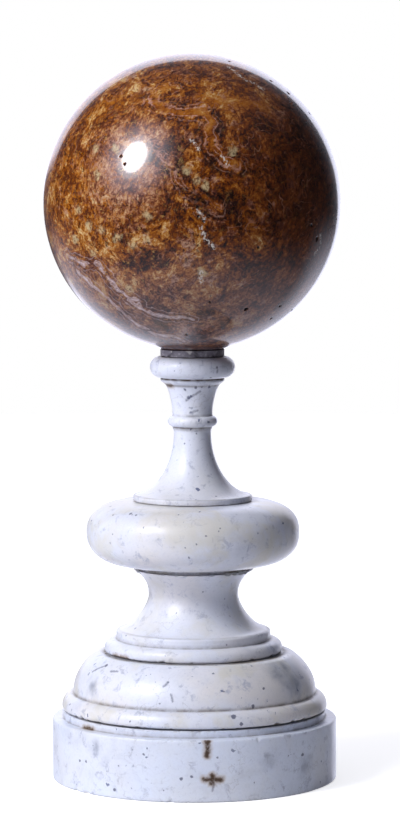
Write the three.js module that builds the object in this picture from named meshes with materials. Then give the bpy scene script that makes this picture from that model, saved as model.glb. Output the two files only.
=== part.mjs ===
// A polished alabaster sphere on a turned marble stand.
//
// The stand is a stack of six separately turned pieces, bedded one on another on flat faces:
// a drum plinth, a domed base, a waisted spool, a bun knop, a slender baluster that ends in a
// round collar, and a small disc of grey stone, dished on top, in which the sphere sits.
//
// Millimetres, +Z up. The origin is on the underside of the plinth, on the axis of the stand.

import * as THREE from 'three';

// Driving dimensions. Every other size below is a proportion that belongs to one piece.

const SPHERE_RADIUS = 100;
const BED_JOINT = 0.3; // the thin bed left between one piece and the next
const FACET_ERROR = 0.28; // how far a flat facet may lie inside the true round
const ARRIS = 0.8; // how far a sharp turned edge is eased

// Curves. An outline is a list of [radius, height] points.

// A quarter of a rounded moulding. It leaves `upright` vertically and reaches `level` lying flat,
// so it bulges where `level` is nearer to the axis and it is hollow where `level` is further out.
// Squareness 2 gives an ellipse, and more than 2 a fuller curve. `part` stops it early, at that
// share of its height.
function quarter(upright, level, steps, squareness = 2, part = 1) {
  const power = 2 / squareness;
  const lastAngle = Math.asin(part ** (1 / power));
  const points = [];
  for (let i = 0; i <= steps; i++) {
    const angle = (lastAngle * i) / steps;
    const across = Math.abs(Math.cos(angle)) ** power;
    const along = Math.sin(angle) ** power;
    points.push([
      level[0] + (upright[0] - level[0]) * across,
      upright[1] + (level[1] - upright[1]) * along,
    ]);
  }
  return points;
}

// A band that swells from `root` at its lower edge to `crest` and back to `root` at its upper edge.
function roundBand(root, crest, low, high, steps, squareness = 2) {
  const middle = (low + high) / 2;
  return [
    ...quarter([crest, middle], [root, low], steps, squareness).reverse(),
    ...quarter([crest, middle], [root, high], steps, squareness).slice(1),
  ];
}

// A plain flat band of one radius, its upper edge eased.
function fillet(radius, low, high, ease = ARRIS) {
  return [
    [radius, low],
    [radius, high - ease],
    [radius - ease, high],
  ];
}

// Turning. The outline is closed to the axis at both ends and spun into a solid.

function facetsAround(radius) {
  const exact = Math.PI / Math.acos(1 - FACET_ERROR / radius);
  return 4 * Math.round(exact / 4);
}

function turned(name, outline, material) {
  const lowest = outline[0][1];
  const highest = outline[outline.length - 1][1];
  const profile = [[0, lowest], ...outline, [0, highest]];
  const widest = Math.max(...outline.map(([radius]) => radius));
  const points = profile.map(([radius, height]) => new THREE.Vector2(radius, height));
  const geometry = new THREE.LatheGeometry(points, facetsAround(widest));
  geometry.rotateX(Math.PI / 2);
  const mesh = new THREE.Mesh(geometry, material);
  mesh.name = name;
  return mesh;
}

// Materials.

const marble = new THREE.MeshStandardMaterial({ color: 0xe6e6ec, roughness: 0.38, metalness: 0 });
const greyStone = new THREE.MeshStandardMaterial({ color: 0x827f86, roughness: 0.7, metalness: 0 });
const alabaster = new THREE.MeshStandardMaterial({ color: 0x7d4519, roughness: 0.12, metalness: 0 });

// Plinth: a plain drum with a low step on top.

const plinth = { radius: 95.7, drumHeight: 41.1, drumEase: 1.4, stepRadius: 88.4, height: 45.8 };

function plinthOutline() {
  const { radius, drumHeight, drumEase, stepRadius, height } = plinth;
  return [
    [radius - ARRIS, 0],
    [radius, ARRIS],
    ...quarter([radius, drumHeight - drumEase], [radius - drumEase, drumHeight], 2),
    ...fillet(stepRadius, drumHeight, height),
  ];
}

// Domed base: a rounded ring at the foot, a sunk line, then a dome cut off level at the top.

const base = {
  bedRadius: 85,
  bedLip: 0.4, // the underside turns up a little before the ring swells
  ringRadius: 89.3,
  ringCrest: 2.6,
  ringTop: 11.4,
  ringSquareness: 2.15,
  domeRadius: 81.8,
  domeRise: 36.2,
  domeFlat: 34.3,
  shoulderRadius: 64.9,
  height: 38.7,
};

function baseOutline() {
  const { bedRadius, bedLip, ringRadius, ringCrest, ringTop, ringSquareness, height } = base;
  const { domeRadius, domeRise, domeFlat, shoulderRadius } = base;
  const domeFoot = ringTop + ARRIS;
  const shoulder = (height - ARRIS - domeFoot) / (ringTop + domeRise - domeFoot);
  return [
    [bedRadius, 0],
    ...quarter([ringRadius, ringCrest], [bedRadius, bedLip], 3).reverse(),
    ...quarter([ringRadius, ringCrest], [domeRadius, ringTop], 4, ringSquareness).slice(1),
    ...quarter([domeRadius, domeFoot], [domeFlat, ringTop + domeRise], 7, 2, shoulder),
    [shoulderRadius, height],
  ];
}

// Spool: a rounded ring and a flat band at the foot, then one long hollow that narrows to a waist
// and opens again under the bun.

const spool = {
  ringRadius: 59.8,
  ringUndercut: 57.8,
  ringCrest: 2.2,
  ringTop: 8.8,
  ringSquareness: 2.6,
  bandRadius: 51.9,
  bandTop: 14.9,
  footReach: 50.3,
  footRise: 0.6, // the hollow starts this far above the top of the band
  footSquareness: 1.55,
  waistRadius: 30,
  waist: 39,
  topReach: 48.7,
  topRise: 19,
  topSquareness: 1.95,
  height: 55.9,
};

function spoolOutline() {
  const { ringRadius, ringUndercut, ringCrest, ringTop, ringSquareness } = spool;
  const { bandRadius, bandTop, footReach, footRise, footSquareness } = spool;
  const { waistRadius, waist, topReach, topRise, topSquareness, height } = spool;
  const narrowest = [waistRadius, waist];
  const foot = [footReach, bandTop + footRise];
  const top = [topReach, waist + topRise];
  const topPart = (height - waist) / topRise;
  return [
    ...quarter([ringRadius, ringCrest], [ringUndercut, 0], 2).reverse(),
    ...quarter([ringRadius, ringCrest], [bandRadius, ringTop], 4, ringSquareness).slice(1, -1),
    ...fillet(bandRadius, ringTop, bandTop),
    ...quarter(narrowest, foot, 7, footSquareness).reverse(),
    ...quarter(narrowest, top, 6, topSquareness, topPart).slice(1),
  ];
}

// Bun: a flattened round knop on a low sunk bed.

const bun = {
  bedRadius: 37.8,
  bedHeight: 3,
  radius: 71.5,
  crest: 24.7,
  lowerFlat: 39.5,
  upperFlat: 41,
  squareness: 2.38,
  height: 45.8,
};

function bunOutline() {
  const { bedRadius, bedHeight, radius, crest, lowerFlat, upperFlat, squareness, height } = bun;
  return [
    [bedRadius, 0],
    [bedRadius, bedHeight],
    ...quarter([radius, crest], [lowerFlat, bedHeight], 7, squareness).reverse(),
    ...quarter([radius, crest], [upperFlat, height], 7, squareness).slice(1),
  ];
}

// Baluster: a flat band, a long hollow up to the neck, a ring round the neck, a second short
// hollow, then a step and a round collar that carries the seat.

const baluster = {
  footRadius: 39.9,
  footTop: 3.9,
  flareReach: 42.3,
  flareFoot: 3.5,
  flarePart: 0.99, // the flare meets the foot band before it lies quite flat
  neckRadius: 12.4,
  neck: 46.1,
  ringRoot: 13.5,
  ringRadius: 16.7,
  ringLow: 49.8,
  ringHigh: 56.8,
  throatRadius: 13.4,
  throat: 59.8,
  throatReach: 20.3,
  throatTop: 80,
  throatSquareness: 1.55,
  stepLow: 77.9,
  stepHigh: 79.7,
  capRadius: 21.4,
  collarRadius: 28.5,
  collarLow: 82.5,
  height: 96.8,
};

function balusterOutline() {
  const { footRadius, footTop, flareReach, flareFoot, flarePart, neckRadius, neck } = baluster;
  const { ringRoot, ringRadius, ringLow, ringHigh } = baluster;
  const { throatRadius, throat, throatReach, throatTop, throatSquareness } = baluster;
  const { stepLow, stepHigh, capRadius, collarRadius, collarLow, height } = baluster;
  const neckEnd = [neckRadius, neck];
  const throatEnd = [throatReach, throatTop];
  const throatPart = (stepLow - throat) / (throatTop - throat);
  return [
    ...fillet(footRadius, 0, footTop),
    ...quarter(neckEnd, [flareReach, flareFoot], 8, 2, flarePart).reverse(),
    ...roundBand(ringRoot, ringRadius, ringLow, ringHigh, 3),
    ...quarter([throatRadius, throat], throatEnd, 4, throatSquareness, throatPart),
    [capRadius - ARRIS, stepHigh],
    [capRadius, stepHigh + ARRIS],
    ...roundBand(capRadius, collarRadius, collarLow, height, 4),
  ];
}

// Seat: a small disc whose top is dished to the sphere, so that the sphere bears on it all over.

const seat = { radius: 21.4, rimHeight: 4.4 };
const dishRadius = SPHERE_RADIUS + BED_JOINT;
const dishRim = seat.radius - ARRIS;
const sphereOverRim = Math.sqrt(dishRadius ** 2 - dishRim ** 2);

function seatOutline() {
  const { radius, rimHeight } = seat;
  const centre = rimHeight + sphereOverRim;
  const rings = 2;
  const dish = [];
  for (let i = rings; i >= 0; i--) {
    const out = (dishRim * i) / rings;
    dish.push([out, centre - Math.sqrt(dishRadius ** 2 - out ** 2)]);
  }
  return [[radius, 0], [radius, rimHeight - ARRIS], ...dish];
}

// Sphere.

function sphereMesh() {
  const around = facetsAround(SPHERE_RADIUS);
  const geometry = new THREE.SphereGeometry(SPHERE_RADIUS, around, around / 2);
  geometry.rotateX(Math.PI / 2);
  const mesh = new THREE.Mesh(geometry, alabaster);
  mesh.name = 'sphere';
  return mesh;
}

// Assembly, from the ground up.

const ornament = new THREE.Group();
const stand = new THREE.Group();
ornament.add(stand);

let stackTop = 0;
function bed(mesh, height) {
  mesh.position.z = stackTop;
  stand.add(mesh);
  stackTop += height + BED_JOINT;
}

bed(turned('plinth', plinthOutline(), marble), plinth.height);
bed(turned('domed_base', baseOutline(), marble), base.height);
bed(turned('spool', spoolOutline(), marble), spool.height);
bed(turned('bun', bunOutline(), marble), bun.height);
bed(turned('baluster', balusterOutline(), marble), baluster.height);
const seatUnderside = stackTop;
bed(turned('seat_disc', seatOutline(), greyStone), seat.rimHeight);

const sphere = sphereMesh();
sphere.position.z = seatUnderside + seat.rimHeight + sphereOverRim;
ornament.add(sphere);

export default ornament;
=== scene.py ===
"""A polished alabaster sphere on a turned marble stand.

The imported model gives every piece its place. This script dresses each one in turn, from the ground up:
a finely turned mesh with its chips and worn edges, and the stone that it is cut from.
Outlines are written in millimetres from the foot of their piece, and turns in degrees from the front.
"""

import math
from functools import reduce

import bmesh
import bpy
import numpy as np
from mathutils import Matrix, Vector


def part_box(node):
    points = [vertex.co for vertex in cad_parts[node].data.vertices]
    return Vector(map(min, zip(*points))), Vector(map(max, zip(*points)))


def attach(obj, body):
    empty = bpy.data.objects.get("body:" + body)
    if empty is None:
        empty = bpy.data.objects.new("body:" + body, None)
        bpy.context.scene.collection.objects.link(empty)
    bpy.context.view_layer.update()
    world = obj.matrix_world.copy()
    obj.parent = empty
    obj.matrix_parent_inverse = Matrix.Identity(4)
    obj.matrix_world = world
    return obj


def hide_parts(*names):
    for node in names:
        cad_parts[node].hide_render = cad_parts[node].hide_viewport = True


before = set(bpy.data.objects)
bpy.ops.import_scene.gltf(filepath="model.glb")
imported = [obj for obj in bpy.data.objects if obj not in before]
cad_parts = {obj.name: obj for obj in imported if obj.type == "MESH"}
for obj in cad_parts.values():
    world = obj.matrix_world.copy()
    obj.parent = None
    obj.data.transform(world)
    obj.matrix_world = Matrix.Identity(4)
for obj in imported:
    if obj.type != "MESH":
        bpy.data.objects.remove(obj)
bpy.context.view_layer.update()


# Plinth. A drum of white marble with a low step left proud on top, turned in one and rubbed smooth.
# It stands on the ground by its own weight, so its lower edge is bruised and its flank has rust runs.

MM = 0.001


def quarter(upright, level, squareness=2.0, part=1.0):
    """A quarter of a moulding, from `upright`, where it stands vertical, to `level`, where it lies flat.

    Squareness 2 is an ellipse, and more is fuller. `part` stops it early, at that share of its height.
    """
    steps = 60
    power = 2 / squareness
    last = math.asin(part ** (1 / power))
    points = []
    for i in range(steps + 1):
        angle = last * i / steps
        across = abs(math.cos(angle)) ** power
        along = math.sin(angle) ** power
        radius = level[0] + (upright[0] - level[0]) * across
        points.append((radius, upright[1] + (level[1] - upright[1]) * along))
    return points


def round_band(root, crest, low, high):
    """A band that swells from `root` to `crest` and back."""
    middle = (low + high) / 2
    rising = quarter((crest, middle), (root, low))[::-1]
    return rising + quarter((crest, middle), (root, high))[1:]


def worn_outline(outline, worn):
    """The outline in even steps, with its corners rubbed round over the length `worn`."""
    step = 0.1
    points = np.array(outline, float)
    lengths = np.hypot(*np.diff(points, axis=0).T)
    path = np.concatenate([[0], np.cumsum(lengths)])
    walk = np.arange(0, path[-1], step)
    even = np.stack([np.interp(walk, path, points[:, k]) for k in (0, 1)], axis=1)
    reach = int(3 * worn / step)
    weights = np.exp(-0.5 * (np.arange(-reach, reach + 1) * step / worn) ** 2)
    weights /= weights.sum()
    ends = np.pad(even, ((reach, reach), (0, 0)), mode="reflect", reflect_type="odd")
    return np.stack([np.convolve(ends[:, k], weights, mode="valid") for k in (0, 1)], axis=1)


def rings_along(walk, rings):
    """Where the rings lie and which way they face: spread along the walk, and closer where it bends."""
    ring_length, ring_bend = 2.0, 4.0  # millimetres and degrees, either of which is worth one ring
    steps = np.diff(walk, axis=0)
    heading = np.unwrap(np.arctan2(steps[:, 1], steps[:, 0]))
    bends = np.abs(np.gradient(np.degrees(heading))) / ring_bend
    measure = np.concatenate([[0], np.cumsum(np.hypot(*steps.T) / ring_length + bends)])
    chosen = np.interp(np.linspace(0, measure[-1], rings), measure, np.arange(len(walk)))
    position = np.stack([np.interp(chosen, np.arange(len(walk)), walk[:, k]) for k in (0, 1)], axis=1)
    tangent = np.gradient(position, axis=0)
    tangent /= np.linalg.norm(tangent, axis=1)[:, None]
    return position, np.stack([tangent[:, 1], -tangent[:, 0]], axis=1)


def hand_turned(points, seed, amount):
    """The slight unevenness that hand turning and rubbing leave, as a height over the surface."""
    wavelengths = (70, 45, 28, 17, 11)
    draw = np.random.default_rng(seed)
    height = np.zeros(len(points))
    for wavelength in wavelengths:
        direction = draw.normal(size=3)
        direction *= 2 * math.pi / wavelength / np.linalg.norm(direction)
        height += np.sin(points @ direction + draw.uniform(0, 6.28)) * wavelength / wavelengths[0]
    return amount * height


def chipped(points, chips, seed):
    """How deep each point lies in a chip. A chip is its centre, its size across and its depth."""
    teeth, tooth = 4, 0.16  # how often a chip's edge strays from a circle, and how far
    draw = np.random.default_rng(seed)
    depth = np.zeros(len(points))
    for centre, size, deep in chips:
        offset = points - np.array(centre)
        jag = draw.normal(size=(3, 3)) * teeth / size
        rough = np.sin(offset @ jag.T).sum(axis=1) * tooth
        nearness = np.clip(1 + rough - (np.linalg.norm(offset, axis=1) / size) ** 2, 0, 1)
        depth = np.maximum(depth, deep * np.sqrt(nearness))
    return depth


class Outline:
    """A turned piece's worn outline, and where marks at a turn and a height lie on it.

    It begins and ends a little way in on the level beds, out of sight between one piece and the next.
    """

    def __init__(self, points, worn):
        self.walk = worn_outline(points, worn)

    def at(self, turn, height):
        """The point on the surface. Where the outline is level, the outermost one is taken."""
        nearest = self.walk[np.argmin(np.abs(self.walk[:, 1] - height) - self.walk[:, 0] * 1e-3)]
        angle = math.radians(turn)
        return (nearest[0] * math.sin(angle), -nearest[0] * math.cos(angle), height)

    def marks(self, marks):
        """Each mark's turn and height made into its point. Whatever follows them stays as it is."""
        return [(self.at(turn, height), *sizes) for turn, height, *sizes in marks]

    def lines(self, lines):
        """Lines through points, from lines through turns and heights."""
        return [[self.at(*place) for place in line] for line in lines]


def nicks(height, count, seed, size=(0.5, 1.4)):
    """Small bruises scattered along the arris at one height: turn, height, size across and depth."""
    draw = np.random.default_rng(seed)
    found = []
    for _ in range(count):
        across = draw.uniform(*size)
        turn = draw.uniform(-180, 180)
        found.append((turn, height, across, across * draw.uniform(0.25, 0.5)))
    return found


def mark_points(mesh, name, amounts):
    """Gives every point of a mesh an amount that its stone can read by that name."""
    mesh.attributes.new(name, "FLOAT", "POINT").data.foreach_set("value", amounts.astype(np.float32))


def turned(node, outline, rings, around, slip, seed, chips=(), soil=(), uneven=0.05):
    """A turned piece that stands for a CAD node: rings of points, closed to the axis.

    `slip` is how far it stands to the right of the axis. A chip is its turn, height, size across and
    depth, and a line of soil and painted shade is its radius, height, spread and strength: dirt at the
    joints, and shade painted into the creases and under the mouldings.
    """
    broken = 0.4  # the depth at which a chip shows wholly fresh stone
    position, normal = rings_along(outline.walk, rings)
    turn = np.arange(around) * 2 * math.pi / around
    circle = np.stack([np.sin(turn), -np.cos(turn)], axis=1)
    points = np.empty((rings, around, 3))
    points[:, :, :2] = position[:, 0, None, None] * circle
    points[:, :, 2] = position[:, 1, None]
    outward = np.empty_like(points)
    outward[:, :, :2] = normal[:, 0, None, None] * circle
    outward[:, :, 2] = normal[:, 1, None]
    points, outward = points.reshape(-1, 3), outward.reshape(-1, 3)
    cut = chipped(points, outline.marks(chips), seed)
    height = hand_turned(points, seed, uneven) - cut
    surface = points + outward * height[:, None]
    centres = np.array([[0, 0, surface[:around, 2].mean()], [0, 0, surface[-around:, 2].mean()]])
    surface = np.concatenate([surface, centres])
    grid = np.arange(rings * around).reshape(rings, around)
    onward = np.roll(grid, -1, axis=1)
    faces = np.stack([grid[:-1], onward[:-1], onward[1:], grid[1:]], axis=-1).reshape(-1, 4).tolist()
    bottom, top = rings * around, rings * around + 1
    faces += [(bottom, b, a) for a, b in zip(grid[0].tolist(), onward[0].tolist())]
    faces += [(top, a, b) for a, b in zip(grid[-1].tolist(), onward[-1].tolist())]
    mesh = bpy.data.meshes.new(node)
    mesh.from_pydata((surface * MM).tolist(), [], faces)
    mesh.polygons.foreach_set("use_smooth", [True] * len(mesh.polygons))
    # Dirt in the joints, and painted shade in the creases and under the mouldings, strongest on each
    # line.
    dirt_and_shade = np.zeros(len(surface))
    for radius, level, spread, strength in soil:
        away = np.hypot(np.hypot(surface[:, 0], surface[:, 1]) - radius, surface[:, 2] - level)
        dirt_and_shade = np.maximum(dirt_and_shade, strength * np.exp(-((away / spread) ** 2)))
    mark_points(mesh, "soil", dirt_and_shade)
    mark_points(mesh, "fresh", np.concatenate([np.clip(cut / broken, 0, 1), [0, 0]]))
    low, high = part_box(node)
    piece = bpy.data.objects.new("dressed_" + node, mesh)
    piece.location = ((low.x + high.x) / 2 + slip * MM, (low.y + high.y) / 2, low.z)
    bpy.context.scene.collection.objects.link(piece)
    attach(piece, "root")
    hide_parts(node)
    return piece


class Wire:
    """An output socket. Sums written on wires add the nodes that work them out.

    A name in brackets gives another output of the same node.
    """

    def __init__(self, finish, socket):
        self.finish = finish
        self.socket = socket

    def __getitem__(self, name):
        return Wire(self.finish, self.socket.node.outputs[name])

    def __add__(self, other):
        return self.finish.sum("ADD", self, other)

    def __sub__(self, other):
        return self.finish.sum("SUBTRACT", self, other)

    def __rsub__(self, other):
        return self.finish.sum("SUBTRACT", other, self)

    def __mul__(self, other):
        return self.finish.sum("MULTIPLY", self, other)

    def __truediv__(self, other):
        return self.finish.sum("DIVIDE", self, other)

    def __rtruediv__(self, other):
        return self.finish.sum("DIVIDE", other, self)

    def __pow__(self, other):
        return self.finish.sum("POWER", self, other)

    def __rpow__(self, other):
        return self.finish.sum("POWER", other, self)

    def __abs__(self):
        return self.finish.add("ShaderNodeMath", {"operation": "ABSOLUTE"}, {0: self})

    __radd__ = __add__
    __rmul__ = __mul__


class Finish:
    """The nodes of one stone, or of the studio's light."""

    def __init__(self, owner):
        owner.use_nodes = True
        self.owner = owner
        self.tree = owner.node_tree
        self.tree.nodes.clear()

    def add(self, kind, settings=None, sockets=None):
        """A node of that type. Its settings are set first, and then its sockets get values or wires."""
        node = self.tree.nodes.new(kind)
        for name, value in (settings or {}).items():
            if name == "stops":
                ramp = node.color_ramp.elements
                while len(ramp) < len(value):
                    ramp.new(1)
                for stop, (place, colour) in zip(ramp, value):
                    stop.position = place
                    stop.color = (*colour, 1)
            else:
                setattr(node, name, value)
        for name, value in (sockets or {}).items():
            if isinstance(name, int):
                socket = node.inputs[name]
            else:
                socket = next(s for s in node.inputs if s.enabled and s.name == name)
            if isinstance(value, Wire):
                self.tree.links.new(value.socket, socket)
            elif socket.type == "RGBA":
                socket.default_value = (*value, 1)
            else:
                socket.default_value = value
        outputs = [s for s in node.outputs if s.enabled]
        return Wire(self, outputs[0]) if outputs else node

    def sum(self, operation, a, b):
        """Two values, vectors or colours, put together. A plain number works on all of a vector."""
        wires = [w for w in (a, b) if isinstance(w, Wire)]
        if any(w.socket.type in ("VECTOR", "RGBA") for w in wires):
            a, b = ((v,) * 3 if isinstance(v, (int, float)) else v for v in (a, b))
            return self.add("ShaderNodeVectorMath", {"operation": operation}, {0: a, 1: b})
        return self.add("ShaderNodeMath", {"operation": operation}, {0: a, 1: b})

    def least(self, a, b):
        return self.sum("MINIMUM", a, b)

    def most(self, a, b):
        return self.sum("MAXIMUM", a, b)

    def folded(self, value, width):
        """The value run to and fro between 0 and `width`, like the layers of a fold."""
        return self.sum("PINGPONG", value, width)

    def clamped(self, value):
        """The value kept between 0 and 1."""
        return self.add("ShaderNodeClamp", {}, {"Value": value})

    def dot(self, a, b):
        return self.add("ShaderNodeVectorMath", {"operation": "DOT_PRODUCT"}, {0: a, 1: b})["Value"]

    def distance(self, a, b):
        return self.add("ShaderNodeVectorMath", {"operation": "DISTANCE"}, {0: a, 1: b})["Value"]

    def scaled(self, vector, times):
        return self.add("ShaderNodeVectorMath", {"operation": "SCALE"}, {0: vector, "Scale": times})

    def place(self):
        """Where the point lies on the piece, in metres."""
        return self.add("ShaderNodeTexCoord")["Object"]

    def marked(self, name):
        """The amount that the mesh's points carry by that name."""
        return self.add("ShaderNodeAttribute", {"attribute_name": name})["Fac"]

    def noise(self, place, size, detail=4.0, rough=0.5):
        """A cloudy value about 0.5 whose clouds are `size` millimetres across."""
        sockets = {"Vector": place, "Scale": 1 / (size * MM), "Detail": detail, "Roughness": rough}
        return self.add("ShaderNodeTexNoise", {}, sockets)

    def swirled(self, place, size, reach, detail=2.0):
        """The place pushed about by up to half of `reach` millimetres, in swirls of that size."""
        push = self.noise(place, size, detail)["Color"] - 0.5
        return place + push * (reach * MM)

    def drawn_out(self, place, axis, times):
        """The place squeezed along an axis, so that what is drawn on it comes out `times` as long."""
        along = self.dot(place, axis)
        return place + self.scaled(axis, along * (1 / times - 1))

    def smooth(self, value, low, high, bottom=0.0, top=1.0):
        """Goes softly from `bottom` to `top` as the value goes from `low` to `high`."""
        sockets = {"Value": value, "From Min": low, "From Max": high, "To Min": bottom, "To Max": top}
        return self.add("ShaderNodeMapRange", {"interpolation_type": "SMOOTHSTEP"}, sockets)

    def within(self, away, near, far, strength=1.0):
        """`strength` where the distance is under `near` millimetres, falling softly to 0 at `far`."""
        return self.smooth(away, near * MM, far * MM, strength, 0)

    def tint(self, amount, under, over):
        """One colour laid over another."""
        sockets = {"Factor": amount, "A": under, "B": over}
        return self.add("ShaderNodeMix", {"data_type": "RGBA"}, sockets)

    def ramp(self, value, *stops):
        """The colour that the value finds on a ramp of stops."""
        return self.add("ShaderNodeValToRGB", {"stops": stops}, {"Fac": value})

    def spots(self, place, spots):
        """How far, in metres, the place lies outside the nearest of several spots of given radius."""
        return reduce(
            self.least,
            [self.distance(place, [c * MM for c in centre]) - radius * MM for centre, radius in spots],
        )

    def strokes(self, place, lines):
        """How far, in metres, the place lies from the nearest of several lines drawn through points."""
        found = []
        for line in lines:
            for start, end in zip(line[:-1], line[1:]):
                start, end = np.array(start) * MM, np.array(end) * MM
                span = end - start
                from_start = place - start.tolist()
                along = self.clamped(self.dot(from_start, (span / (span @ span)).tolist()))
                found.append(self.distance(from_start, self.scaled(span.tolist(), along)))
        return reduce(self.least, found)

    def relief(self, height, strength, depth):
        """A faint unevenness of the surface, `depth` millimetres deep."""
        sockets = {"Strength": strength, "Distance": depth * MM, "Height": height}
        return self.add("ShaderNodeBump", {}, sockets)

    def lay_on(self, mesh, sockets):
        """The surface itself, with its sockets, laid on a mesh."""
        surface = self.add("ShaderNodeBsdfPrincipled", {}, sockets)
        self.add("ShaderNodeOutputMaterial", {}, {"Surface": surface})
        mesh.materials.append(self.owner)


def marble(
    piece, outline, seed, specks=(), cracks=(), rust=(), blue=(), age=0.42, cool=(0.79, 0.82, 0.91)
):
    """White marble: cool and faintly clouded, warmed by wax and age, with grey specks and hairline veins.

    Specks and blue patches are a turn, a height and a radius, and cracks and rust are lines through
    turns and heights. `age` is how far wax has yellowed it, and `cool` is its colour where it hasn't.
    """
    warm, wax = (0.82, 0.80, 0.80), (0.72, 0.69, 0.59)
    cloud_grey, blotch_grey, vein_grey = (0.50, 0.53, 0.63), (0.42, 0.45, 0.56), (0.42, 0.43, 0.47)
    freckle_blue, patch_blue, speck_grey = (0.13, 0.16, 0.28), (0.27, 0.30, 0.38), (0.11, 0.12, 0.19)
    rust_brown, rust_black = (0.34, 0.20, 0.065), (0.055, 0.026, 0.014)
    bruise, grime_and_shade = (0.62, 0.64, 0.68), (0.100, 0.062, 0.024)
    stone = Finish(bpy.data.materials.new("marble_" + piece.name))
    spot = stone.place()
    block = spot + (0.31 * seed, 0.17 * seed, 0.23 * seed)

    # The ground of the stone: cool and warm parts, clouds, grain, hairlines, blotches and old wax.
    colour = stone.tint(stone.smooth(stone.noise(block, 70, 3), 0.42, 0.68, 0, age * 1.9), cool, warm)
    clouds = stone.noise(stone.swirled(block, 30, 25), 26, 7, 0.62)
    colour = stone.tint(stone.smooth(clouds, 0.50, 0.78, 0, 0.42), colour, cloud_grey)
    grain = stone.noise(block, 1.7, 3, 0.6)
    colour = stone.tint(stone.smooth(grain, 0.45, 0.75, 0, 0.16), colour, cloud_grey)
    path = stone.noise(stone.swirled(block, 18, 14), 48, 6, 0.6)
    hairline = stone.smooth(abs(path - 0.5), 0.0, 0.008, 1, 0)
    hairline = hairline * stone.smooth(stone.noise(block, 30, 2), 0.48, 0.62, 0, 0.4)
    colour = stone.tint(hairline, colour, vein_grey)
    blotch = stone.smooth(stone.noise(stone.swirled(block, 9, 10), 8, 5, 0.7), 0.54, 0.70, 0, 0.7)
    colour = stone.tint(blotch, colour, blotch_grey)
    patina = stone.smooth(stone.noise(stone.swirled(block, 25, 20), 36, 5, 0.6), 0.44, 0.64, 0, age)
    colour = stone.tint(patina, colour, wax)

    # Blue-grey freckles, one at most to a cell, and thicker in some places than in others.
    cell_size = 5.0 * MM
    bent = stone.swirled(stone.swirled(block, 5, 5), 1.8, 2.2, 4)
    cells = stone.add("ShaderNodeTexVoronoi", {}, {"Vector": bent, "Scale": 1 / cell_size})
    chance = stone.add("ShaderNodeSeparateColor", {}, {"Color": cells["Color"]})
    crowd = stone.smooth(stone.noise(block, 24, 2), 0.38, 0.64, 0.03, 0.25) * chance["Red"]
    freckle = stone.smooth(cells["Distance"], crowd, crowd + 0.05, 1, 0)
    freckle = freckle * stone.smooth(chance["Green"], 0.36, 0.42)
    freckle = freckle * stone.smooth(chance["Blue"], 0.3, 1.0, 0.18, 0.95)
    colour = stone.tint(freckle, colour, freckle_blue)

    # The marks that belong to this piece alone.
    ragged = stone.swirled(spot, 1.6, 1.6)
    if blue:
        patch = stone.within(stone.spots(stone.swirled(spot, 9, 16, 4), outline.marks(blue)), -6, 6)
        colour = stone.tint(patch * stone.smooth(clouds, 0.36, 0.62, 0.3, 0.9), colour, patch_blue)
    if specks:
        speck = stone.within(stone.spots(ragged, outline.marks(specks)), -0.2, 0.5, 0.85)
        colour = stone.tint(speck, colour, speck_grey)
    if cracks:
        crack = stone.within(stone.strokes(ragged, outline.lines(cracks)), 0.1, 1.3, 0.65)
        colour = stone.tint(crack, colour, speck_grey)
    if rust:
        bled = stone.swirled(stone.swirled(spot, 7, 2), 2.2, 1.8, 4)
        near_run = stone.strokes(bled, outline.lines(rust))
        mottle = stone.smooth(stone.noise(block, 3.5, 5, 0.7), 0.36, 0.54, 0.6, 1)
        colour = stone.tint(stone.within(near_run, 0.6, 4.2, 0.7) * mottle, colour, rust_brown)
        colour = stone.tint(stone.within(near_run, 0.5, 2.4, 0.92) * mottle, colour, rust_black)

    # Fresh stone in the chips, and dirt in the joints, with shade painted into the creases and under the
    # mouldings.
    colour = stone.tint(stone.marked("fresh") * 0.45, colour, bruise)
    # Dirt and painted shade darken the joints and creases, and roughen them.
    held_dirt_and_shade = stone.marked("soil") * stone.smooth(stone.noise(block, 9, 5, 0.65), 0.30, 0.62, 0.45, 1.25)
    held_dirt_and_shade = stone.clamped(held_dirt_and_shade)
    colour = stone.tint(held_dirt_and_shade, colour, grime_and_shade)
    fine = stone.noise(block, 2.4, 4, 0.6) * 0.25 + stone.noise(block, 14, 3)
    stone.lay_on(
        piece.data,
        {
            "Base Color": colour,
            "Roughness": stone.smooth(clouds, 0.35, 0.75, 0.40, 0.50) + held_dirt_and_shade * 0.3,
            "Normal": stone.relief(fine, 0.25, 0.22),
            "IOR": 1.5,
            "Specular IOR Level": 0.25,
            "Coat Weight": 0.33,
            "Coat Roughness": 0.24,
            "Subsurface Weight": 0.12,
            "Subsurface Radius": (1.0, 0.8, 0.6),
            "Subsurface Scale": 0.004,
        },
    )


def size_of(node):
    """A node's greatest radius and its height, in millimetres."""
    low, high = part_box(node)
    return (high.x - low.x) / 2 / MM, (high.z - low.z) / MM


plinth_radius, plinth_height = size_of("plinth")
step_inset, step_rise = 7.3, 4.7
step_radius, drum_height = plinth_radius - step_inset, plinth_height - step_rise
foot_ease, drum_ease = 0.6, 1.4
plinth_outline = Outline(
    [(plinth_radius - 6, 0), (plinth_radius - foot_ease, 0), (plinth_radius, foot_ease)]
    + quarter((plinth_radius, drum_height - drum_ease), (plinth_radius - drum_ease, drum_height))
    + [(step_radius, drum_height), (step_radius, plinth_height), (step_radius - 7, plinth_height)],
    worn=0.45,
)
plinth_chips = [
    (-55, 0.2, 2.4, 0.8),
    (-48, 0.1, 2.8, 0.8),
    (-9, 0.4, 2.0, 0.9),
    (26, drum_height - 0.6, 1.6, 0.6),
    (118, 0.3, 5.0, 1.6),
]
plinth_chips += nicks(0.3, 50, seed=11, size=(0.4, 1.1))
plinth_chips += nicks(drum_height - 0.5, 22, seed=12, size=(0.4, 0.9))
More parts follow.
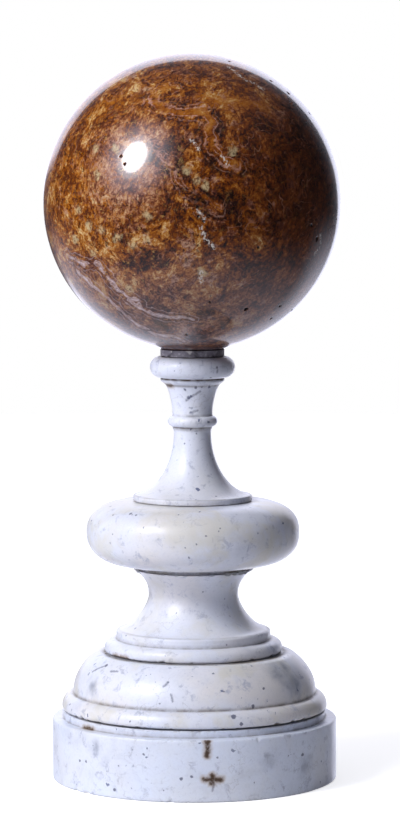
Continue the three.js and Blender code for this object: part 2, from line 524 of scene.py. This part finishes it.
plinth_chips += nicks(plinth_height - 0.3, 40, seed=13)
plinth = turned(
    "plinth",
    plinth_outline,
    rings=70,
    around=760,
    slip=0.0,
    seed=1,
    chips=plinth_chips,
    soil=[
        (step_radius, drum_height, 0.9, 0.5),
        (step_radius - 1.5, plinth_height, 1.2, 0.45),
        (plinth_radius, 0, 0.8, 0.5),
    ],
)
marble(
    plinth,
    plinth_outline,
    seed=1,
    specks=[
        (9, 29.8, 0.5), (-52, 21, 0.7), (-48, 21.5, 0.8), (-5, 16, 0.9), (-1, 17.5, 0.7),
        (-33, 6, 1.0), (48, 26, 1.1), (-20, 31, 0.6), (-31, 22, 0.4), (-44, 33, 0.3),
        (24, 12, 0.35), (40, 27, 0.4), (-12, 8, 0.3),
    ],
    cracks=[[(7, 18), (7.5, 12), (7, 8)]],
    rust=[
        [(4.7, 40.3), (5.5, 40.3)],
        [(5, 40.3), (5.2, 36), (5, 31)],
        [(7, 18), (7, 13)],
        [(4, 15.6), (7, 15.9), (10.5, 15.5)],
        [(-55, 41.3), (-49, 41.3)],
    ],
    blue=[(31, 26, 4), (50, 17, 6), (-43, 31, 3)],
    age=0.15,
    cool=(0.775, 0.83, 0.955),
)


# Domed base. One block of the same marble, turned with a rounded ring at the foot, a sunk line above it
# and a full dome, cut off level to carry the spool. It is bedded dry on the plinth, and dirt and painted
# shade lie in the joint.

base_radius, base_height = size_of("domed_base")
base_bed = base_radius - 4.3
ring_crest, ring_top = 2.6, 11.4
dome_radius, dome_flat, dome_rise = base_radius - 7.5, 34.3, 36.2
line_height, base_arris, shoulder_radius = 0.8, 0.8, 64.9
dome_foot = ring_top + line_height
shoulder = (base_height - base_arris - dome_foot) / (ring_top + dome_rise - dome_foot)
base_outline = Outline(
    [(base_bed - 6, 0), (base_bed, 0)]
    + quarter((base_radius, ring_crest), (base_bed, 0.4))[::-1]
    + quarter((base_radius, ring_crest), (dome_radius, ring_top), squareness=2.15)[1:]
    + quarter((dome_radius, dome_foot), (dome_flat, ring_top + dome_rise), part=shoulder)
    + [(shoulder_radius, base_height), (56, base_height)],
    worn=0.4,
)
base_chips = nicks(0.8, 60, seed=21, size=(0.6, 1.8))
base_chips += [(turn, 0.9, 2.6, 1.2) for turn in (-62, -57, 38, 47, 55, 150, -140)]
domed_base = turned(
    "domed_base",
    base_outline,
    rings=120,
    around=640,
    slip=0.0,
    seed=2,
    chips=base_chips,
    soil=[
        (base_bed + 1, 0.1, 1.5, 1.0),
        (dome_radius, ring_top + 0.3, 1.3, 0.52),
        (60.5, base_height, 1.9, 0.8),
    ],
)
marble(
    domed_base,
    base_outline,
    seed=2,
    specks=[
        (-56, 35.2, 1.1), (10, 34.7, 0.6), (35, 23.9, 0.8), (14, 23.9, 0.5), (28, 13.3, 1.2),
        (17, 8.6, 1.5), (20, 3.6, 1.1), (-70, 7.5, 0.6), (-28, 4.5, 0.5), (-16, 16.3, 0.4),
        (-13, 29.4, 0.4), (110, 25, 0.9), (-130, 18, 0.8),
    ],
    cracks=[
        [(-64, 30), (-60, 33), (-56, 35)],
        [(-44, 33.1), (-49, 32.6)],
        [(-15, 26.9), (-13, 29.4)],
        [(-11, 22.2), (-10, 17.9)],
    ],
    age=0.6,
    blue=[(50, 32, 9), (56, 22, 7), (-58, 22, 4)],
)


# Spool. A waisted drum of marble: a rounded ring, a flat band and then one long hollow that narrows
# to a waist and opens again under the bun.

spool_radius, spool_height = size_of("spool")
spool_ring_crest, spool_ring_top = 2.2, 8.8
band_radius, band_top = 51.9, 14.9
waist_radius, waist = 30.0, 39.0
foot_reach, top_reach, top_rise = 50.3, 48.7, 19
top_part = (spool_height - waist) / top_rise
spool_outline = Outline(
    [(spool_radius - 9, 0), (spool_radius - 2.6, 0)]
    + quarter((spool_radius, spool_ring_crest), (spool_radius - 2, 0.2))[::-1]
    + quarter((spool_radius, spool_ring_crest), (band_radius, spool_ring_top), squareness=2.6)[1:]
    + [(band_radius, band_top - 0.6), (band_radius - 0.6, band_top)]
    + quarter((waist_radius, waist), (foot_reach, band_top + 0.6), squareness=1.55)[::-1]
    + quarter((waist_radius, waist), (top_reach, waist + top_rise), squareness=1.95, part=top_part)[1:]
    + [(32, spool_height)],
    worn=0.4,
)
spool_chips = nicks(spool_height - 0.2, 60, seed=31, size=(0.6, 1.9))
spool_chips += nicks(0.8, 26, seed=32, size=(0.4, 1.1))
spool_chips += [(turn, spool_height - 0.3, 2.6, 1.3) for turn in (35, 44, 52, 60, -70, 160)]
spool_chips += [(turn, 0.4, 2.2, 0.8) for turn in (41, 62, -20)]
spool = turned(
    "spool",
    spool_outline,
    rings=130,
    around=460,
    slip=-0.7,
    seed=3,
    chips=spool_chips,
    soil=[
        (spool_radius - 2, 0, 1.2, 0.9),
        (band_radius, spool_ring_top, 0.9, 0.5),
        (band_radius - 1.5, band_top, 0.8, 0.3),
        (38.5, spool_height, 0.8, 0.4),
    ],
)
marble(
    spool,
    spool_outline,
    seed=3,
    specks=[(-20, 30, 0.4), (12, 44, 0.35), (25, 11, 0.4)],
    rust=[[(-62, 0.6), (-48, 0.6)]],
)


# Bun. A flattened round knop of marble, waxed and yellowed more than the rest, on a low sunk bed that
# shows as a dark slot all round.

bun_radius, bun_height = size_of("bun")
bun_bed, bun_lift, bun_crest = 37.8, 3.0, 24.7
lower_flat, upper_flat = 39.5, 41
bun_outline = Outline(
    [(28, 0), (bun_bed, 0), (bun_bed, bun_lift)]
    + quarter((bun_radius, bun_crest), (lower_flat, bun_lift), squareness=2.38)[::-1]
    + quarter((bun_radius, bun_crest), (upper_flat, bun_height), squareness=2.38)[1:]
    + [(32, bun_height)],
    worn=0.3,
)
bun = turned(
    "bun",
    bun_outline,
    rings=90,
    around=540,
    slip=-1.0,
    seed=4,
    soil=[(bun_bed, 1.0, 1.2, 0.6), (39.7, bun_height, 1.0, 0.4)],
    uneven=0.09,
)
marble(
    bun,
    bun_outline,
    seed=4,
    specks=[
        (-42, 42.0, 1.0), (-37, 41.5, 0.8), (-40, 41.5, 0.4), (-55, 40.0, 0.5), (7, 30.0, 0.5),
        (15, 34.5, 0.5), (14, 32.7, 0.4), (2, 24.5, 0.4), (-4, 22.5, 0.4), (-2, 15.8, 0.5),
        (-9, 42.8, 0.4), (125, 30, 0.6),
    ],
    age=0.62,
)


# Baluster. The slender shaft of marble: a flat band, a long flare up to the neck, a ring round the neck,
# a short throat, and a step under the round collar that carries the seat.

foot_radius, baluster_height = size_of("baluster")
foot_top, flare_reach, flare_foot = 3.9, 42.3, 3.5
neck_radius, neck = 12.4, 46.1
ring_root, ring_radius, ring_low, ring_high = 13.5, 16.7, 49.8, 56.8
throat_radius, throat, throat_reach, throat_top = 13.4, 59.8, 20.3, 80
step_low, step_high, cap_radius = 77.9, 79.7, 21.4
collar_radius, collar_low = 28.5, 82.5
throat_part = (step_low - throat) / (throat_top - throat)
baluster_outline = Outline(
    [(31, 0), (foot_radius, 0), (foot_radius, foot_top - 0.5), (foot_radius - 0.5, foot_top)]
    + quarter((neck_radius, neck), (flare_reach, flare_foot), part=0.99)[::-1]
    + round_band(ring_root, ring_radius, ring_low, ring_high)
    + quarter((throat_radius, throat), (throat_reach, throat_top), squareness=1.55, part=throat_part)
    + [(cap_radius - 0.8, step_high), (cap_radius, step_high + 0.8)]
    + round_band(cap_radius, collar_radius, collar_low, baluster_height)
    + [(14, baluster_height)],
    worn=0.3,
)
baluster = turned(
    "baluster",
    baluster_outline,
    rings=190,
    around=300,
    slip=-1.3,
    seed=5,
    chips=nicks(foot_top - 0.3, 14, seed=51, size=(0.4, 0.8)),
    soil=[
        (foot_radius, 0, 0.9, 0.5),
        (foot_radius - 0.6, foot_top, 0.8, 0.3),
        (13.3, 49.6, 0.7, 0.85),
        (13.3, 57.2, 0.8, 0.35),
        (18.0, step_low, 0.9, 0.5),
        (cap_radius, collar_low - 0.2, 1.1, 0.95),
        (cap_radius, baluster_height, 1.6, 1.0),
    ],
    uneven=0.04,
)
marble(
    baluster,
    baluster_outline,
    seed=5,
    specks=[
        (-17, 75.5, 0.8), (7, 77.0, 0.8), (20, 77.2, 0.4), (39, 77.0, 1.0), (-10, 70.0, 1.0),
        (-4, 71.0, 0.7), (40, 53.5, 0.8), (12, 45.8, 0.4), (-25, 39.0, 0.35), (28, 5.4, 0.5),
        (28, 84.0, 0.5), (35, 90.7, 0.5),
    ],
    cracks=[
        [(-17, 68.0), (-2, 71.0), (18, 74.4)],
        [(-6, 59.8), (14, 61.3)],
        [(35, 90.7), (35.5, 87.4)],
    ],
    rust=[[(turn, step_low + 0.3) for turn in (-72, -50)]],
    age=0.18,
)


# Seat. A small disc of grey stone with pale flecks, dished on top, on which the sphere sits.
# A smear of setting plaster has squeezed out at the front.

seat_radius, seat_height = size_of("seat_disc")
seat_outline = Outline(
    [(12, 0), (seat_radius, 0), (seat_radius, seat_height), (seat_radius - 6, seat_height - 0.7)],
    worn=0.25,
)
plaster_smears = [(-5, seat_height - 0.5, 1.5), (-9, seat_height, 1.0), (-40, 3.6, 0.7)]
seat = turned(
    "seat_disc",
    seat_outline,
    rings=36,
    around=260,
    slip=-1.4,
    seed=6,
    chips=nicks(seat_height - 0.2, 26, seed=61, size=(0.4, 1.0)) + nicks(0.2, 20, seed=62),
    uneven=0.06,
)


def grey_stone(piece, smears):
    """A dull violet-grey stone, flecked paler, with smears of plaster."""
    dull, fleck = (0.31, 0.285, 0.325), (0.68, 0.64, 0.68)
    plaster, black = (0.80, 0.76, 0.72), (0.04, 0.036, 0.04)
    stone = Finish(bpy.data.materials.new("grey_stone"))
    spot = stone.place()
    grain = stone.noise(stone.swirled(spot, 4, 4), 3.2, 6, 0.7)
    colour = stone.tint(stone.smooth(grain, 0.48, 0.68, 0, 0.85), dull, fleck)
    colour = stone.tint(stone.smooth(stone.noise(spot, 6, 4), 0.52, 0.66, 0, 0.6), colour, black)
    smear = stone.within(stone.spots(stone.swirled(spot, 2, 2), smears), -0.4, 0.5, 0.9)
    colour = stone.tint(smear, colour, plaster)
    stone.lay_on(
        piece.data,
        {"Base Color": colour, "Roughness": 0.62, "Normal": stone.relief(grain, 0.6, 0.3)},
    )


grey_stone(seat, seat_outline.marks(plaster_smears))


# Sphere. A ball of brown alabaster, ground and polished. Amber and cream crystals lie in dark brown, with
# layers of pale lines low on the left, a few healed fractures, and small open pits.

sphere_low, sphere_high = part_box("sphere")
sphere_radius = (sphere_high.x - sphere_low.x) / 2 / MM
sphere_slip, sphere_uneven = -0.8, 0.012
cube_cuts = 104  # the grid on each of the six sides that the ball's mesh is blown up from
pits_behind = 26
pit_depth = 1.1  # as a share of its size
pit_margin = 1.6  # how far round a pit the mesh is cut finer
# The pits carry painted shade, wholly dark from this depth down.
pit_shade_depth = 0.7  # the depth at which a pit is wholly dark


def on_ball(turn, rise):
    """The point of the ball at a turn from the front and a rise above its middle, in degrees."""
    turn, rise = math.radians(turn), math.radians(rise)
    level = sphere_radius * math.cos(rise)
    return (level * math.sin(turn), -level * math.cos(turn), sphere_radius * math.sin(rise))


def lines_on_ball(*lines):
    """Lines through points of the ball, from lines through turns and rises."""
    return [[on_ball(*place) for place in line] for line in lines]


pits = [
    (28, -43, 1.5), (50, -42, 1.0), (51, -49, 1.1), (67, -45, 0.9), (8, -39, 0.8), (-5, -59, 0.9),
    (26, -16, 1.0), (51, -8, 1.1), (56, -13, 1.4), (4, -6, 0.9), (2, -4, 0.8), (-29, 18, 0.8),
    (-27, 15, 0.8), (39, 68, 0.9), (58, 53, 0.9), (64, 46, 1.3), (71, 36, 0.8),
]
pit_draw = np.random.default_rng(77)
for _ in range(pits_behind):
    turn_behind = pit_draw.uniform(90, 270)
    rise_behind = math.degrees(math.asin(pit_draw.uniform(-0.8, 0.95)))
    pits.append((turn_behind, rise_behind, pit_draw.uniform(0.6, 1.3)))


def ball():
    """The ball's mesh: a cube's even grid blown up round, cut finer about the pits, which are sunk."""
    form = bmesh.new()
    bmesh.ops.create_cube(form, size=2)
    bmesh.ops.subdivide_edges(form, edges=form.edges[:], cuts=cube_cuts, use_grid_fill=True)
    for vertex in form.verts:
        vertex.co = [math.tan(c * math.pi / 4) for c in vertex.co]
        vertex.co.normalize()
        vertex.co *= sphere_radius
    centres = np.array([on_ball(turn, rise) for turn, rise, _ in pits])
    sizes = np.array([size for *_, size in pits])
    for _ in range(2):
        places = np.array([v.co for v in form.verts])
        near = np.zeros(len(places), bool)
        for centre, size in zip(centres, sizes):
            near |= np.linalg.norm(places - centre, axis=1) < size + pit_margin
        edges = [e for e in form.edges if near[e.verts[0].index] and near[e.verts[1].index]]
        bmesh.ops.subdivide_edges(form, edges=edges, cuts=1, use_grid_fill=True)
        form.verts.index_update()
    bmesh.ops.triangulate(form, faces=[f for f in form.faces if len(f.verts) > 4])
    mesh = bpy.data.meshes.new("sphere")
    form.to_mesh(mesh)
    form.free()
    points = np.empty(len(mesh.vertices) * 3)
    mesh.vertices.foreach_get("co", points)
    points = points.reshape(-1, 3)
    points *= sphere_radius / np.linalg.norm(points, axis=1)[:, None]
    sunk = chipped(points, [(c, s, s * pit_depth) for c, s in zip(centres, sizes)], seed=7)
    points *= (1 - (sunk - hand_turned(points, 8, sphere_uneven)) / sphere_radius)[:, None]
    mesh.vertices.foreach_set("co", (points * MM).ravel())
    # How much painted shade each point of a pit gets, by its depth.
    mark_points(mesh, "pit", np.clip(sunk / pit_shade_depth, 0, 1))
    mesh.polygons.foreach_set("use_smooth", [True] * len(mesh.polygons))
    mesh.update()
    return mesh


sphere = bpy.data.objects.new("dressed_sphere", ball())
sphere.location = (sphere_low + sphere_high) / 2
sphere.location.x += sphere_slip * MM
bpy.context.scene.collection.objects.link(sphere)
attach(sphere, "root")
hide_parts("sphere")


def alabaster(piece):
    """Brown alabaster: warped clouds of crystals from near black through amber to cream."""
    straw, ember_orange, speck_black = (0.48, 0.27, 0.08), (0.37, 0.112, 0.001), (0.022, 0.007, 0.004)
    low_dark_and_floor_reflection, low_pale_and_floor_reflection, fold_pink = (0.035, 0.014, 0.012), (0.170, 0.098, 0.085), (0.36, 0.17, 0.11)
    ring_pink, cream_white = (0.50, 0.27, 0.20), (0.54, 0.42, 0.22)
    layer_brown, lavender, faint_lavender = (0.080, 0.030, 0.024), (0.60, 0.48, 0.48), (0.50, 0.36, 0.34)
    healed_white, pit_shade = (0.74, 0.68, 0.60), (0.006, 0.004, 0.004)
    stone = Finish(bpy.data.materials.new("alabaster"))
    spot = stone.place()

    # The tone, from dark to pale, that the ramps turn into colour.
    lean = (0.42, 0.36, 0.83)  # the way the crystals are drawn out
    flow = stone.swirled(stone.swirled(spot, 60, 42), 20, 15, 3)
    clouds = stone.noise(flow, 16, 7, 0.66)
    flakes = stone.noise(stone.swirled(stone.drawn_out(flow, lean, 2.2), 5, 5), 4.2, 5, 0.75)
    grit = stone.noise(stone.swirled(stone.drawn_out(spot, lean, 1.5), 4, 3), 1.8, 3, 0.75)
    tone = clouds * 0.38 + flakes * 0.34 + grit * 0.28

    def zone(turn, rise, inner, outer):
        """1 within `inner` millimetres of a place on the ball, falling to 0 at `outer`."""
        away = stone.distance(flow, [c * MM for c in on_ball(turn, rise)])
        return stone.within(away, inner, outer)

    # Painted light: the tone is lifted a little on the left and at the top, where the key lamp falls.
    lit_side_lift = stone.most(zone(-66, -12, 30, 85) * 0.012, zone(2, 46, 10, 50) * 0.014)
    # Partly the stone's own and partly painted shade: the right side, away from the lamp, is made darker,
    # flatter and more mauve.
    shaded_side_calm = zone(66, 4, 30, 115) * 0.62
    tone = tone + lit_side_lift - zone(4, 4, 10, 55) * 0.014
    tone = tone + stone.smooth(stone.noise(flow, 30, 3, 0.6), 0.36, 0.64, -0.016, 0.014)
    tone = tone + (0.450 - tone) * shaded_side_calm
    # Partly the stone's own amber and partly painted light: the lit left and top are made paler, as the
    # glow of light through the stone.
    lit_side_glow = stone.most(zone(-62, 12, 45, 105), zone(2, 52, 20, 70) * 0.7)
    tone = tone + (stone.most(tone, 0.480) - tone) * lit_side_glow * 0.8

    # The amber swirl with its tail, a thinner vein and a patch. The swirl and the vein have dark borders.
    swirl = [(-11, 48), (-17, 49), (-21, 45), (-18, 40), (-13, 37), (-7, 36), (-2, 35), (5, 36), (7, 33)]
    swirl += [(6, 28), (8, 21), (12, 17), (16, 15)]
    patch = [(4, 43), (14, 41), (23, 40), (36, 39)]
    vein = [(-14, 19), (-9, 16), (-7, 12), (-2, 6), (4, 2), (10, -1)]
    thinner = 2.2 * MM
    ragged = stone.swirled(stone.swirled(spot, 20, 15, 3), 4, 5, 4)
    near_vein = stone.strokes(ragged, lines_on_ball(vein)) + thinner
    near_swirl = stone.least(stone.strokes(ragged, lines_on_ball(swirl)), near_vein)
    near_patch = stone.strokes(ragged, lines_on_ball(patch))
    amber = stone.most(stone.within(near_swirl, 0.8, 4.5), stone.within(near_patch, 1.0, 7.5))
    amber = amber * stone.smooth(stone.noise(spot, 9, 4, 0.6), 0.38, 0.60, 0.35, 1)
    tone = tone + (0.545 - tone) * amber * 0.82
    tone = tone - stone.within(abs(near_swirl - 7.0 * MM), 0.8, 3.4, 0.030)

    # Brown crystals, milky mauve ones, and flecks of straw, orange and black. The milky mauve also paints
    # a soft halo round the highlight, and the orange flecks are thicker on the lit side as painted light.
    brown = stone.ramp(
        tone,
        (0.413, (0.007, 0.003, 0.003)),
        (0.455, (0.044, 0.011, 0.005)),
        (0.487, (0.132, 0.028, 0.002)),
        (0.511, (0.225, 0.056, 0.002)),
        (0.535, (0.330, 0.105, 0.007)),
        (0.559, (0.440, 0.190, 0.035)),
        (0.593, (0.630, 0.430, 0.190)),
    )
    mauve = stone.ramp(
        tone,
        (0.44, (0.026, 0.009, 0.007)),
        (0.48, (0.090, 0.027, 0.017)),
        (0.51, (0.175, 0.068, 0.048)),
        (0.56, (0.430, 0.260, 0.190)),
    )
    milky_and_halo = stone.smooth(stone.noise(stone.swirled(spot, 14, 11), 9, 6, 0.72), 0.52, 0.59, 0, 0.75)
    # Painted highlight: a soft mauve halo round the spot where the key lamp shines on the polish.
    milky_and_halo = stone.most(milky_and_halo * (1 - lit_side_glow * 0.5), zone(-26, 16, 12, 46) * 0.6)
    milky_and_halo = stone.most(milky_and_halo, shaded_side_calm * 0.5) * (1 - amber)
    colour = stone.tint(milky_and_halo, brown, mauve)
    pale = stone.smooth(stone.noise(stone.swirled(spot, 5, 5), 3.4, 5, 0.8), 0.57, 0.63, 0, 0.8)
    pale = pale * stone.most(zone(-50, 0, 50, 110), 0.25)
    colour = stone.tint(pale, colour, straw)
    ember = stone.smooth(stone.noise(stone.swirled(spot, 6, 6), 2.8, 4, 0.75), 0.54, 0.60, 0, 0.8)
    colour = stone.tint(ember * stone.most(lit_side_glow, 0.25), colour, ember_orange)
    speck = stone.smooth(stone.noise(spot, 3.4, 4, 0.8), 0.43, 0.37, 0, 0.85)
    colour = stone.tint(speck, colour, speck_black)
    # Partly the stone's own mauve and partly a painted reflection of the white floor: a mauve-grey cast
    # over the low part of the ball.
    level = stone.add("ShaderNodeSeparateXYZ", {}, {"Vector": flow})["Z"]
    low = stone.smooth(level, -20 * MM, -72 * MM) * 0.5
    colour = stone.tint(low, colour, stone.tint(stone.smooth(tone, 0.44, 0.56), low_dark_and_floor_reflection, low_pale_and_floor_reflection))

    # Thin lines where the clouds fold, pinkish rings round the swirl, and spots of cream.
    fold = stone.smooth(stone.folded(stone.noise(flow, 34, 3, 0.5), 0.034), 0.0050, 0.0008)
    fold = fold * stone.smooth(stone.noise(spot, 22, 3), 0.44, 0.60, 0, 0.75)
    colour = stone.tint(fold * stone.smooth(grit, 0.36, 0.56, 0.3, 1), colour, fold_pink)
    rings = stone.smooth(stone.folded(near_swirl, 1.7 * MM), 0.7 * MM, 0.2 * MM)
    rings = rings * stone.within(near_swirl, 4.0, 9.5, 0.9)
    rings = rings * stone.smooth(stone.noise(spot, 12, 3), 0.42, 0.58)
    colour = stone.tint(rings * stone.smooth(flakes, 0.40, 0.55, 0.3, 1), colour, ring_pink)
    cream = [
        (-42, 21), (-32, 21), (-39, 11), (-17, -4), (-37, -9), (-30, -12), (-43, -8), (-18, -12),
        (-43, -18), (-29, -33), (16, 20), (4, -26), (-48, -2), (-24, -15), (-52, -13), (-2, 13),
        (1, 9), (5, 7), (130, 20), (-140, -12), (170, 35),
    ]
    cream_size = 2.2
    cream = stone.spots(stone.swirled(spot, 5, 9, 5), [(on_ball(*place), cream_size) for place in cream])
    cream = stone.within(cream, -1.2, 2.0, 0.8) * stone.smooth(grit, 0.38, 0.54, 0.15, 1)
    colour = stone.tint(cream, colour, cream_white)

    # Lavender lines low on the left, with the dark layers and the fainter lines that run beside them.
    lines = lines_on_ball(
        [(-60, -20), (-49, -23), (-42, -23), (-39, -28), (-36, -33), (-27, -39)],
        [(-58, -26), (-53, -30), (-48, -34), (-42, -42), (-36, -52), (-28, -59), (-15, -60), (-8, -65)],
        [(-32, -38), (-23, -45), (-14, -47), (-1, -48)],
    )
    near_line = stone.strokes(stone.swirled(stone.swirled(spot, 7, 8, 2), 2.5, 1.2, 2), lines)
    near_line = near_line + (stone.noise(spot, 5, 3) - 0.42) * (1.6 * MM)
    streak = stone.folded(near_line, 1.6 * MM)
    layer = stone.within(near_line, 2.0, 8.5, 0.75) * stone.smooth(streak, 0.5 * MM, 1.1 * MM, 0.35, 1)
    colour = stone.tint(layer * stone.smooth(flakes, 0.38, 0.56, 1, 0.3), colour, layer_brown)
    worn_line = stone.smooth(stone.noise(spot, 6, 4, 0.6), 0.36, 0.50, 0.45, 0.95)
    colour = stone.tint(stone.within(near_line, 0.2, 1.6) * worn_line, colour, lavender)
    echo = stone.smooth(streak, 1.1 * MM, 1.6 * MM) * stone.within(near_line, 1.6, 9.2)
    colour = stone.tint(echo * worn_line, colour, faint_lavender)

    # Healed fractures, and painted shade in the pits, darker the deeper they are.
    fractures = lines_on_ball(
        [(30, 63), (33, 55), (40, 51), (43, 48)],
        [(2, -2), (4, -5)],
        [(3, -8), (5, -13), (8, -16)],
        [(3, -26), (4, -30)],
        [(58, -12), (60, -16), (57, -19)],
        [(-1, 25), (2, 21)],
        [(11, 18), (13, 15)],
    )
    glint = stone.within(stone.strokes(stone.swirled(spot, 5, 5, 4), fractures), 0.3, 2.2)
    glint = glint * stone.smooth(stone.noise(spot, 1.3, 3, 0.7), 0.49, 0.56)
    colour = stone.tint(glint, colour, healed_white)
    pit = stone.marked("pit")
    colour = stone.tint(pit, colour, pit_shade)
    stone.lay_on(
        piece.data,
        {
            "Base Color": colour,
            "Roughness": stone.smooth(flakes, 0.3, 0.7, 0.26, 0.36) + pit * 0.4,
            "Normal": stone.relief(flakes, 0.12, 0.1),
            "IOR": 1.45,
            "Specular IOR Level": 0.2,
            "Coat Weight": 1.0,
            "Coat Roughness": 0.08,
            "Coat IOR": 1.5,
        },
    )


alabaster(sphere)


# Studio. A small white table, one soft light at the upper left, made of two nested boxes so that its edge
# is soft, a white backdrop behind and a dim room in front, seen from a little above the sphere's middle.


def round_sheet(name, reach, drop, glow):
    """A round sheet of white paper under the stand, in metres. `glow` lifts it towards pure white."""
    turns = np.linspace(0, 2 * math.pi, 96, endpoint=False)
    edge = [(reach * math.sin(a), -reach * math.cos(a), -drop) for a in turns]
    sheet = bpy.data.meshes.new(name)
    sheet.from_pydata(edge, [], [range(len(edge))])
    white = {"Base Color": (0.85, 0.85, 0.85), "Roughness": 0.9}
    shine = {"Emission Color": (1, 1, 1), "Emission Strength": glow}
    Finish(bpy.data.materials.new(name)).lay_on(sheet, white | shine)
    laid = bpy.data.objects.new(name, sheet)
    laid.location.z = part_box("plinth")[0].z
    bpy.context.scene.collection.objects.link(laid)
    return laid


floor = round_sheet("floor", reach=3.0, drop=0.0, glow=0.70)
floor.visible_diffuse = floor.visible_glossy = floor.visible_shadow = False
table = round_sheet("table", reach=0.55, drop=0.0002, glow=0.0)
table.visible_camera = table.visible_glossy = False

key_from = (-0.664, -0.537, 0.521)
key_white = (0.97, 0.975, 1.0)


def key_light(name, distance, size, power):
    """A soft box at the upper left that faces the sphere."""
    lamp = bpy.data.lights.new(name, "AREA")
    lamp.shape = "ELLIPSE"
    lamp.size, lamp.size_y = size
    lamp.energy = power
    lamp.color = key_white
    light = bpy.data.objects.new(name, lamp)
    aim = Vector(key_from).normalized()
    light.location = sphere.location + aim * distance
    light.rotation_euler = aim.to_track_quat("Z", "Y").to_euler()
    light.visible_camera = False
    bpy.context.scene.collection.objects.link(light)


key_light("key", distance=2.2, size=(0.74, 0.86), power=27)
key_light("key_rim", distance=2.21, size=(1.04, 1.22), power=11.5)

# The room's light, by the direction it comes from. The backdrop is bright only straight behind, and a
# dark flag at the left takes a piece out of it. The paper, and the spill round the key, are there only
# for the polish to mirror, and the wall only to light what isn't mirrored.
room_colour = (0.93, 0.94, 1.13)
world = bpy.data.worlds.new("studio")
bpy.context.scene.world = world
room = Finish(world)
direction = room.add("ShaderNodeTexCoord")["Generated"]
towards = room.add("ShaderNodeSeparateXYZ", {}, {"Vector": direction})
path = room.add("ShaderNodeLightPath")
mirrored = path["Is Glossy Ray"]
behind = towards["Y"] + towards["Z"] * 0.11
backdrop = room.smooth(behind, 0.825, 0.84, 0, 1.5) * (1 + mirrored * 0.45)
backdrop = backdrop * room.smooth(towards["X"], -0.5, 0.3, 0.65, 1)
steep = abs((towards["Z"] + 0.08) / towards["X"])
flag = room.smooth(steep, 0.55, 0.30, 0, 0.95) * room.smooth(towards["X"], 0.0, -0.06)
down = towards["Z"] * -1
far_paper = room.smooth(towards["Y"], 0.2, 0.85) * room.smooth(down, 0.05, 0.45, 0, 1.1)
paper = room.most(room.smooth(down, 0.3, 0.9, 0, 0.65), far_paper) * mirrored
ceiling = room.smooth(towards["Z"], 0.50, 0.95, 0, 0.1)
wall = room.smooth(towards["X"] * -0.9 + towards["Y"] * -0.4, 0.0, 0.95, 0, 0.8) * (1 - mirrored)
spill_edge, spill_core = math.cos(math.radians(36)), math.cos(math.radians(13))
spill = room.smooth(room.dot(direction, key_from), spill_edge, spill_core) ** 2 * 3.0 * mirrored
glow = room.most(room.most(backdrop * (1 - flag), ceiling), paper) + wall + spill
glow = glow + 0.02 + (1 - mirrored) * 0.03
dim = room.add("ShaderNodeBackground", {}, {"Color": room_colour, "Strength": glow})
plain = room.add("ShaderNodeBackground", {}, {"Color": (1, 1, 1), "Strength": 1.0})
mixed = room.add("ShaderNodeMixShader", {}, {0: path["Is Camera Ray"], 1: dim, 2: plain})
room.add("ShaderNodeOutputWorld", {}, {"Surface": mixed})

eye = bpy.data.cameras.new("eye")
eye.sensor_fit = "VERTICAL"
eye.sensor_height = 36
eye.lens = 145.66
eye_place = (0.0037, -2.236, 0.42915)
eye_tilt = 4.693  # degrees below level
camera = bpy.data.objects.new("camera", eye)
camera.location = eye_place
camera.rotation_euler = (math.radians(90 - eye_tilt), 0, 0)
bpy.context.scene.collection.objects.link(camera)
bpy.context.scene.camera = camera
bpy.context.scene.view_settings.view_transform = "Standard"
